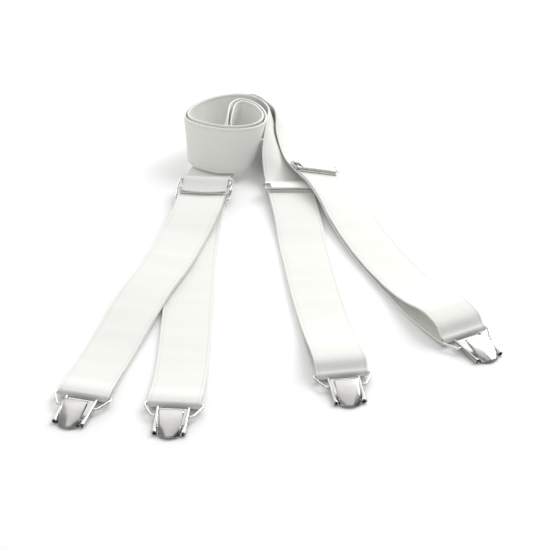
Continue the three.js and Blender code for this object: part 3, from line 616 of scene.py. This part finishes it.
def lever():
    """Pressed lever: a crowned sheet with both long edges turned down as flanges, a bead
    along the finger edge, and two ears that hang on the pin."""
    t = np.concatenate([[0.0, 0.006], np.linspace(0.03, 0.97, 30), [0.99, 1.0]])[:, None]
    s = np.linspace(-1, 1, 33)[None, :]
    x, y, z = (np.broadcast_to(value, (len(t), 33)) for value in lever_top(t, s))
    depth = 1.35 * np.clip(t / 0.22, 0, 1) * np.clip((1.06 - t) / 0.3, 0, 1)
    turn = np.clip((np.abs(s) - 0.9) / 0.1, 0, 1)
    drop = depth * (1 - np.sqrt(np.clip(1 - turn ** 2, 0, 1)))
    ease = np.full(t.shape, 0.3)
    ease[[0, -1]] = 0.2
    top = np.stack([x + np.sign(s) * 0.12 * turn, y, z - drop - 0.3 + ease], -1)
    inward = np.sign(s) * (0.12 * turn - SHEET * turn * (depth > 0.1))
    under = np.stack([x + inward, y, z - drop * 0.93 - 0.3 - ease], -1)
    sheet = surface(np.concatenate([top, under[:, ::-1]], 1))
    bead = rounded_pin(-LEVER_WIDTH / 2, LEVER_WIDTH / 2, -LEVER_START, LEVER_RISE - 0.42, 0.55)
    outline = np.array([[-17.5, 8.25], [-22.75, 6.0], [-27.6, 3.3], [-27.2, 2.6],
                        [-26.4, 2.3], [-22.6, 2.3], [-18, 6.4]])
    middle = outline.mean(0)
    ears = []
    for side in (-1, 1):
        rings = []
        for x_ear, shrink in ((-0.3, 0.96), (-0.2, 1.0), (0.2, 1.0), (0.3, 0.96)):
            yz = middle + (outline - middle) * shrink
            rings.append(np.column_stack([np.full(len(yz), side * 6.1 + x_ear), yz]))
        ears.append(surface(rings))
    return [sheet, bead, *ears]


def grip_pad():
    """Moulded pad under the tip, following the lever, with four low ribs across it."""
    t = np.linspace(0.58, 0.9, 34)[:, None]
    s = np.linspace(-0.66, 0.66, 17)[None, :]
    x, y, z = (np.broadcast_to(value, (34, 17)) for value in lever_top(t, s))
    fade = np.sin(np.linspace(0, math.pi, 34)) ** 0.35
    depth = (0.55 + 0.35 * fade + 0.12 * np.cos(np.linspace(0, 8 * math.pi, 34)))[:, None]
    top = np.stack([x, y, z - SHEET - GAP], -1)
    under = np.stack([x, y, z - SHEET - GAP - depth], -1)
    return [surface(np.concatenate([top, under[:, ::-1]], 1))]


def torsion_spring():
    """Five close turns of fine wire round the pin, with a straight leg at each end."""
    turns, pitch, radius = 5, 0.8, 1.3
    a = np.linspace(0, 2 * math.pi * turns, turns * 28)
    coil = np.stack([pitch * (a / (2 * math.pi) - turns / 2),
                     PIN_Y + np.cos(-math.pi / 2 - a) * radius,
                     PIN_Z + np.sin(-math.pi / 2 - a) * radius], 1)
    leg = np.array([[-turns * pitch / 2, PIN_Y + 4.6, PIN_Z - 1.35]])
    tail = coil[-1:] + np.array([[0.1, -3.2, -0.1]])
    return [tube(np.concatenate([leg, coil, tail]), 0.25, (1, 0, 0), 10)]


def bail():
    """Wire bail: straight bar in the fold, two legs that draw in, two feet in the rolls."""
    foot_z = tube_at(BAIL_REACH)[2]
    side = BAIL_BAR / 2 - BAIL_WIRE / 2
    half = [(CLIP_WIDTH / 2 + GAP, -BAIL_REACH, foot_z), (CLIP_WIDTH / 2 + 2.2, -BAIL_REACH, foot_z),
            (side, -3.2, BAIL_HEIGHT), (side, 0, BAIL_HEIGHT)]
    left = [(-x, y, z) for x, y, z in half]
    path = eased(left + half[::-1], 1.0)
    return [tube(path, BAIL_WIRE / 2, (0, 0, 1), 20)]


def moulded_finish(name):
    """Matt moulded plastic: fine grain bump and a faint mottle in the colour."""
    material = bpy.data.materials.new(name)
    material.use_nodes = True
    tree = material.node_tree
    shader = tree.nodes["Principled BSDF"]
    shader.inputs["Roughness"].default_value = 0.55
    coords = chain(tree, "ShaderNodeTexCoord")
    grain = chain(tree, "ShaderNodeTexNoise", {"Vector": coords.outputs["Object"],
                                               "Scale": 2200.0, "Detail": 3.0})
    mottle = chain(tree, "ShaderNodeTexNoise", {"Vector": coords.outputs["Object"],
                                                "Scale": 300.0, "Detail": 2.0})
    ramp = chain(tree, "ShaderNodeValToRGB", {"Fac": mottle.outputs[0]})
    ramp.color_ramp.elements[0].color = (0.62, 0.61, 0.57, 1)
    ramp.color_ramp.elements[1].color = (0.78, 0.77, 0.73, 1)
    tree.links.new(ramp.outputs[0], shader.inputs["Base Color"])
    bump = chain(tree, "ShaderNodeBump", {"Height": grain.outputs[0], "Strength": 0.3,
                                          "Distance": 0.0001})
    tree.links.new(bump.outputs[0], shader.inputs["Normal"])
    return material


GRIP = moulded_finish("moulded_grip")


def clip_place(x, y, turn):
    """Moves points from a clip's own frame to where that end of the strap lies."""
    a = math.radians(turn)
    spin = np.array([[math.cos(a), math.sin(a), 0], [-math.sin(a), math.cos(a), 0], [0, 0, 1]])
    return lambda points: points @ spin + np.array([x, y, 0.0])


pin = [rounded_pin(-7.7, 7.7, PIN_Y, PIN_Z, PIN_RADIUS, 0.12)]
for which, (x, y, turn) in enumerate(ENDS, 1):
    end = f"end{which}_"
    there = clip_place(x, y, turn)
    for part, shape, finish, body, slot in (
            ("bail", bail(), WIRE, "bail", "wire_steel"),
            ("back_plate", back_plate(), NICKEL, "clip", "nickel"),
            ("hinge_pin", pin, WIRE, "clip", "wire_steel"),
            ("spring", torsion_spring(), WIRE, "clip", "wire_steel"),
            ("lever", lever(), NICKEL, "lever", "nickel"),
            ("grip_pad", grip_pad(), GRIP, "lever", "grip")):
        piece(end + part + "_piece", shape, finish, f"{body}{which}", [end + part], there)

# ---------------------------------------------------------------------------------------
# The four slide adjusters. The cut end of the upper layer is finished by a webbing tab that
# is sewn round the straight bar of a bent wire frame, whose bowed bar holds the strap down.
# A flat clamp plate hangs on the same bar by two eyelets. It turns on adjusters 3 and 4, and
# stays with the frame on adjusters 1 and 2, which lie turned over.
# ---------------------------------------------------------------------------------------
SLIDE_WIRE = 1.3
SLIDE_WIDTH = 41.6
TAB_THICK = 1.2
PLATE_WIDTH = 7.5
PLATE_LENGTH = 31.0
PLATE_THICK = 0.9
TAB_RADIUS = SLIDE_WIRE / 2 + GAP + TAB_THICK / 2
PLATE_LIFT = TAB_RADIUS + TAB_THICK / 2 + GAP    # bar to the plate's near face
TAB_END_Z = LAYER + GAP + TAB_THICK / 2
TAB_END_LIFT = 0.12                              # cut end of the tab curls up by this much
BOW_Z = TAB_END_Z + TAB_THICK / 2 + GAP + SLIDE_WIRE / 2
# far bar to the bowed bar's tip, depth of the bow, tab's length, bar off the layer, plate's side
FACE_UP = (10.0, 1.2, 11.0, PLATE_LIFT, 1)
FACE_DOWN = (20.5, 4.5, 20.1, GAP + PLATE_THICK + PLATE_LIFT + 0.02, -1)
ADJUSTERS = (FACE_DOWN, FACE_DOWN, FACE_UP, FACE_UP)


def slide_frame(length, depth, bar_z):
    """Closed wire: straight bar, two short sides that rise, and a front bar bowed as half an
    ellipse towards the clip."""
    side = SLIDE_WIDTH / 2 - SLIDE_WIRE / 2
    reach = length - depth
    s = np.linspace(1, -1, 41)
    bow = np.stack([side * s, -reach + 1 - (depth + 1) * np.sqrt(1 - s * s * 0.96),
                    np.full(41, BOW_Z)], 1)
    corner = [(side, 0, bar_z), (side, -1.6, bar_z), (side, -reach * 0.5, (bar_z + BOW_Z) / 2)]
    left = [(-x, y, z) for x, y, z in corner[::-1]]
    bar = [(0, 0, bar_z)]
    start = eased(bar + corner + [tuple(bow[0])], 0.8, 6)
    finish = eased([tuple(bow[-1])] + left + bar, 0.8, 6)
    path = np.concatenate([start[:-1], bow, finish[1:-1]])
    keep = np.linalg.norm(path - np.roll(path, 1, 0), axis=1) > 1e-3
    return [tube(path[keep], SLIDE_WIRE / 2, (0, 0, 1), 16, looped=True)]


def slide_tab(length, bar_z):
    """Webbing tab: short underside, half a turn round the bar, and the top run to its cut
    end over the upper layer."""
    rows = [[0, -4.9, bar_z - TAB_RADIUS, 1, 0, 0]]
    for k in range(7):
        a = -math.pi / 2 + math.pi * k / 6
        rows.append([0, math.cos(a) * TAB_RADIUS, bar_z + math.sin(a) * TAB_RADIUS, 1, 0, 0])
    rows.append([0, -length * 0.6, TAB_END_Z + (bar_z + TAB_RADIUS - TAB_END_Z) * 0.35, 1, 0, 0])
    rows.append([0, -length, TAB_END_Z + TAB_END_LIFT, 1, 0, 0])
    return [ribbon(rows, WEB_WIDTH - 1.2, TAB_THICK, 0.1, longest=0.8)]


def rounded_rectangle(width, depth, radius):
    """Outline of a rectangle round the origin with quarter-circle corners."""
    a = np.linspace(0, math.pi / 2, 7)
    corner = np.stack([np.cos(a), np.sin(a)], 1) * radius
    cx, cy = width / 2 - radius, depth / 2 - radius
    quarter = [(cx, cy, 0), (-cx, cy, 1), (-cx, -cy, 2), (cx, -cy, 3)]
    spin = [np.array([[1, 0], [0, 1]]), np.array([[0, 1], [-1, 0]]),
            np.array([[-1, 0], [0, -1]]), np.array([[0, -1], [1, 0]])]
    return np.concatenate([corner @ spin[k] + (x, y) for x, y, k in quarter])


def flat_plate(width, depth, thick, x, y, z, radius, ease=0.14):
    """Flat plate with rounded corners and eased edges, its underside at height z."""
    rings = []
    for height, inset in ((0, ease), (ease, 0), (thick - ease, 0), (thick, ease)):
        outline = rounded_rectangle(width - 2 * inset, depth - 2 * inset, radius - inset)
        rings.append(np.column_stack([outline + (x, y), np.full(len(outline), z + height)]))
    return surface(rings)


def clamp_plate(bar_z, side_up):
    """Clamp plate, its neck and two eyelets curled round the bar. side_up is -1 where the
    adjuster lies turned over."""
    eye_x = SLIDE_WIDTH / 2 - 2.1
    eye_radius = 1.7
    plate = flat_plate(PLATE_LENGTH, PLATE_WIDTH, PLATE_THICK, 0, -3 - PLATE_WIDTH / 2,
                       PLATE_LIFT, 0.8)
    neck = flat_plate(2 * eye_x + 1, 2.2, PLATE_THICK, 0, -2.6, PLATE_LIFT, 0.45)
    bore = SLIDE_WIRE / 2 + 0.25
    curls = []
    for side in (-1, 1):
        a = np.radians(np.linspace(-200, 100, 30))
        mid = (eye_radius + bore) / 2
        y = np.concatenate([np.cos(a) * mid, [-1.2, -1.7]])
        z = np.concatenate([np.sin(a) * mid, [PLATE_LIFT + 0.1, PLATE_LIFT + 0.45]])
        path = np.stack([np.full(len(y), side * eye_x), y, z], 1)
        run = np.gradient(path, axis=0)
        run /= np.linalg.norm(run, axis=1)[:, None]
        out = np.cross(run, (1.0, 0, 0)) * (eye_radius - bore) / 2
        wide = np.array([0.5, 0, 0])
        rings = np.stack([path + out + wide, path + out - wide, path - out - wide,
                          path - out + wide], 1)
        curls.append(surface(rings))
    turn = np.array([side_up, 1, side_up])
    return [(points * turn + (0, 0, bar_z), faces, uv)
            for points, faces, uv in [plate, neck, *curls]]


TAB_CLOTH = cloth_finish("white_tab_webbing", (0.64, 0.64, 0.61, 1), (0.70, 0.70, 0.67, 1),
                         0.0009, 0.0007, 0.3)
for which, lower in enumerate(LOWER, 1):
    axes, point = axes_at(lower)
    there = lambda points, axes=axes, point=point: points @ axes + point
    node = f"adjuster{which}_"
    body = f"adjuster{which}"
    length, depth, tab, bar_z, side_up = ADJUSTERS[which - 1]
    plate_body = f"clamp{which}" if side_up > 0 else body
    piece(node + "frame_piece", slide_frame(length, depth, bar_z), WIRE, body,
          [node + "frame"], there)
    piece(node + "tab_piece", slide_tab(tab, bar_z), TAB_CLOTH, body, [node + "tab"],
          there, 60)
    piece(node + "clamp_plate_piece", clamp_plate(bar_z, side_up), STRIP, plate_body,
          [node + "clamp_plate"], there)

# ---------------------------------------------------------------------------------------
# The table, the light and the camera. A plain white table runs out on all sides under a
# wide softbox overhead, with a stronger one behind on the right and a dim white room.
# ---------------------------------------------------------------------------------------
TABLE_SIZE = 12.0
table_mesh = bpy.data.meshes.new("table")
reach = TABLE_SIZE / 2
table_mesh.from_pydata([(-reach, -reach, -0.0001), (reach, -reach, -0.0001),
                        (reach, reach, -0.0001), (-reach, reach, -0.0001)], [], [(0, 1, 2, 3)])
table_finish = bpy.data.materials.new("white_table")
table_finish.use_nodes = True
table_shader = table_finish.node_tree.nodes["Principled BSDF"]
table_shader.inputs["Base Color"].default_value = (0.94, 0.94, 0.94, 1)
table_shader.inputs["Roughness"].default_value = 0.9
table_shader.inputs["Specular IOR Level"].default_value = 0.1
table_mesh.materials.append(table_finish)
table = bpy.data.objects.new("table", table_mesh)
bpy.context.scene.collection.objects.link(table)


def softbox(name, place, aim, width, depth, power):
    """Rectangular area light at a place, facing a point."""
    data = bpy.data.lights.new(name, "AREA")
    data.shape = "RECTANGLE"
    data.size, data.size_y = width, depth
    data.energy = power
    light = bpy.data.objects.new(name, data)
    bpy.context.scene.collection.objects.link(light)
    away = Vector(place) - Vector(aim)
    light.location = place
    light.rotation_euler = away.to_track_quat("Z", "Y").to_euler()
    return light


softbox("overhead", (0.0, 0.1, 1.5), (0, 0.05, 0), 1.4, 1.2, 4.6)
softbox("right_key", (0.9, 0.7, 1.15), (0, 0, 0), 1.0, 1.0, 13.5)

# Room light: brightness falls off from two directions, a strong one behind the table and a
# weaker one in front on the left, each as the square of the cosine to its direction.
room = bpy.data.worlds.new("room")
room.use_nodes = True
room_tree = room.node_tree
toward = chain(room_tree, "ShaderNodeTexCoord").outputs["Generated"]
glow = 0.06
for aim, strength in (((0, 0.9701, 0.2425), 2.3), ((-0.4, -0.886, 0.235), 0.95)):
    facing = chain(room_tree, "ShaderNodeVectorMath", {0: toward, 1: aim},
                   operation="DOT_PRODUCT").outputs["Value"]
    lobe = number(room_tree, "POWER", number(room_tree, "MAXIMUM", facing, 0.0), 2.0)
    glow = number(room_tree, "MULTIPLY_ADD", lobe, strength, glow)
room_tree.nodes["Background"].inputs["Color"].default_value = (1, 1, 1, 1)
room_tree.links.new(glow, room_tree.nodes["Background"].inputs["Strength"])
bpy.context.scene.world = room
bpy.context.scene.view_settings.view_transform = "Standard"

camera_data = bpy.data.cameras.new("camera")
camera_data.lens = 147.3
camera_data.sensor_width = 36
camera = bpy.data.objects.new("camera", camera_data)
camera.location = (-0.004578, -1.382366, 0.793067)
camera.rotation_euler = (math.radians(60), 0, 0)
bpy.context.scene.collection.objects.link(camera)
bpy.context.scene.camera = camera
